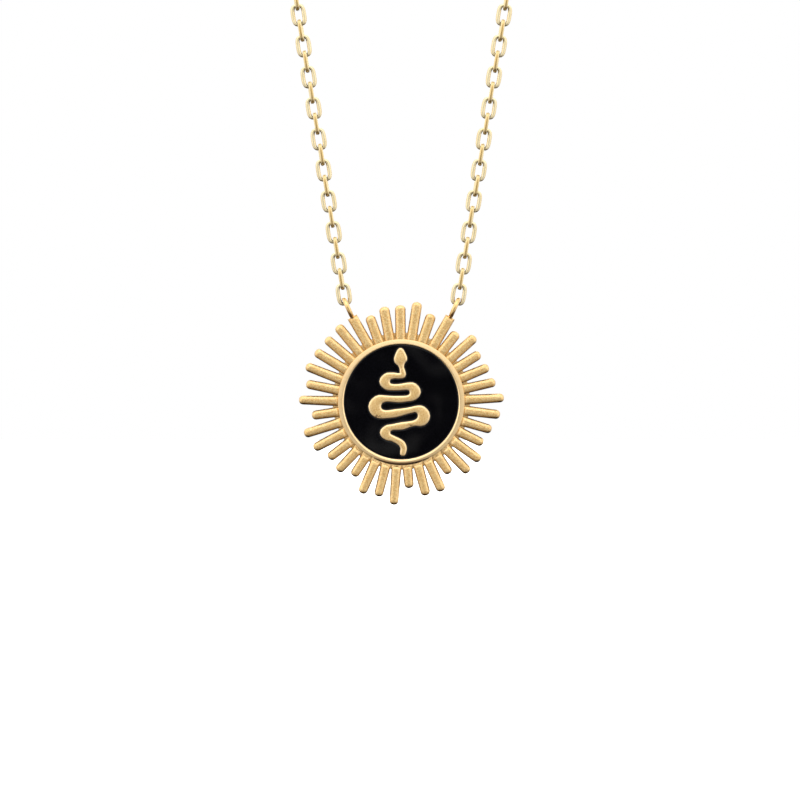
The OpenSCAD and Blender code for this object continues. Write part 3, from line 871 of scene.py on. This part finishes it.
# The floor.
# Plain pale paper, some way below the necklace, which hangs free. Light comes through it from below.
FLOOR_Z = -0.26
FLOOR_HALF_W = 4.0
paper, tree = new_material("pale_paper")
sheet = add_node(tree, "ShaderNodeBsdfPrincipled", {
    "Base Color": linear("#F8F8F6"), "Roughness": 0.9, "Emission Color": linear("#FFFFFF"),
    "Emission Strength": 0.8})
add_node(tree, "ShaderNodeOutputMaterial", {"Surface": sheet.outputs[0]})
corners = [(x * FLOOR_HALF_W, y * FLOOR_HALF_W, FLOOR_Z) for x, y in ((-1, -1), (1, -1), (1, 1), (-1, 1))]
floor = add_piece("floor", corners, [(0, 1, 2, 3)], [paper])
floor.visible_glossy = False
floor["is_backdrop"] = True

# The studio light.
# A white tent, brightest above, dimmer in front, and dark where the lens looks through it. It is open
# below and a little behind, where it shows a dim room of warm wood. Three soft lamps stand in front of the
# pendant, and one behind it.
TOP_STRENGTH, BOTTOM_STRENGTH = 1.35, 0.68
# Shares of that strength in front, in the room and in the lens's hole
FRONT_SHARE, ROOM_SHARE, LENS_SHARE = 0.7, 0.07, 0.02
# Direction of the tent's opening
OPENING_WAY = (0, 0.35, -0.94)
world = bpy.data.worlds.new("studio_tent")
bpy.context.scene.world = world
world.use_nodes = True
tree = world.node_tree
tree.nodes.clear()
way = add_node(tree, "ShaderNodeTexCoord").outputs["Generated"]
axes = add_node(tree, "ShaderNodeSeparateXYZ", {0: way})
tent = add_node(tree, "ShaderNodeMapRange", {"Value": axes.outputs["Z"], "From Min": -0.8, "From Max": 0.5,
                                             "To Min": BOTTOM_STRENGTH, "To Max": TOP_STRENGTH})
beside_panel = add_node(tree, "ShaderNodeMapRange", {"Value": axes.outputs["Y"], "From Min": -0.85,
                                                     "From Max": -0.5, "To Min": FRONT_SHARE, "To Max": 1})
over_panel = add_node(tree, "ShaderNodeMapRange", {"Value": axes.outputs["Z"], "From Min": 0,
                                                   "From Max": 0.3, "To Min": FRONT_SHARE, "To Max": 1})
front_panel = add_node(tree, "ShaderNodeMath", {0: beside_panel.outputs[0], 1: over_panel.outputs[0]},
                       operation="MAXIMUM")
lens_hole = add_node(tree, "ShaderNodeMapRange", {"Value": axes.outputs["Y"], "From Min": -0.997,
                                                  "From Max": -0.97, "To Min": LENS_SHARE, "To Max": 1})
opening = add_node(tree, "ShaderNodeVectorMath", {0: way, 1: OPENING_WAY}, operation="DOT_PRODUCT")
room = add_node(tree, "ShaderNodeMapRange", {"Value": opening.outputs["Value"], "From Min": 0.42,
                                             "From Max": 0.72, "To Min": 1, "To Max": ROOM_SHARE})
strength = tent
for share in (front_panel, lens_hole, room):
    strength = add_node(tree, "ShaderNodeMath", {0: strength.outputs[0], 1: share.outputs[0]},
                        operation="MULTIPLY")
tint = add_node(tree, "ShaderNodeMix", {0: room.outputs[0], MIX_A: linear("#C48A45"),
                                        MIX_B: linear("#FFFDF8")}, data_type="RGBA")
tent_light = add_node(tree, "ShaderNodeBackground", {"Color": tint.outputs[MIX_OUT],
                                                     "Strength": strength.outputs[0]})
backdrop = add_node(tree, "ShaderNodeBackground", {"Color": linear("#FFFFFF"), "Strength": 1})
seen = add_node(tree, "ShaderNodeLightPath")
mixed = add_node(tree, "ShaderNodeMixShader", {0: seen.outputs["Is Camera Ray"], 1: tent_light.outputs[0],
                                               2: backdrop.outputs[0]})
add_node(tree, "ShaderNodeOutputWorld", {"Surface": mixed.outputs[0]})

PENDANT_CENTRE = Vector((0, 0, DISC_Z))
# Columns: name, place from the pendant in metres, width, height, power in watts
SOFTBOXES = [("softbox_above", (0, -0.35, 0.55), 0.7, 0.35, 0.72),
             ("softbox_left", (-0.6, -0.35, 0.15), 0.3, 0.6, 0.48),
             ("softbox_right", (0.6, -0.35, 0.1), 0.25, 0.6, 0.4),
             ("softbox_behind", (0, 0.6, 0.1), 0.4, 0.4, 0.6)]
for name, offset, width, height, watts in SOFTBOXES:
    light = bpy.data.lights.new(name, "AREA")
    light.shape, light.size, light.size_y, light.energy = "RECTANGLE", width, height, watts
    lamp = bpy.data.objects.new(name, light)
    lamp.location = PENDANT_CENTRE + Vector(offset)
    lamp.rotation_euler = (-Vector(offset)).to_track_quat("-Z", "Y").to_euler()
    lamp.visible_camera = False
    bpy.context.scene.collection.objects.link(lamp)

# The camera.
# It looks straight at the front of the pendant, level with it, through a long lens.
LENS_MM, SENSOR_MM = 100, 36
# Width of the picture at the pendant, at 9.7 pixels to the mm
FRAME_W = 0.08247
# The middle of the picture, a little to the left of the disc's centre and above it
AIM = Vector((-0.00013, 0, DISC_Z + 0.0002))
lens = bpy.data.cameras.new("camera")
lens.lens, lens.sensor_width = LENS_MM, SENSOR_MM
lens.clip_start, lens.clip_end = 0.01, 50
camera = bpy.data.objects.new("camera", lens)
camera.location = AIM - Vector((0, FRAME_W * LENS_MM / SENSOR_MM, 0))
camera.rotation_euler = (math.radians(90), 0, 0)
bpy.context.scene.collection.objects.link(camera)
bpy.context.scene.camera = camera
bpy.context.scene.view_settings.view_transform = "Standard"

low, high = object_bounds()
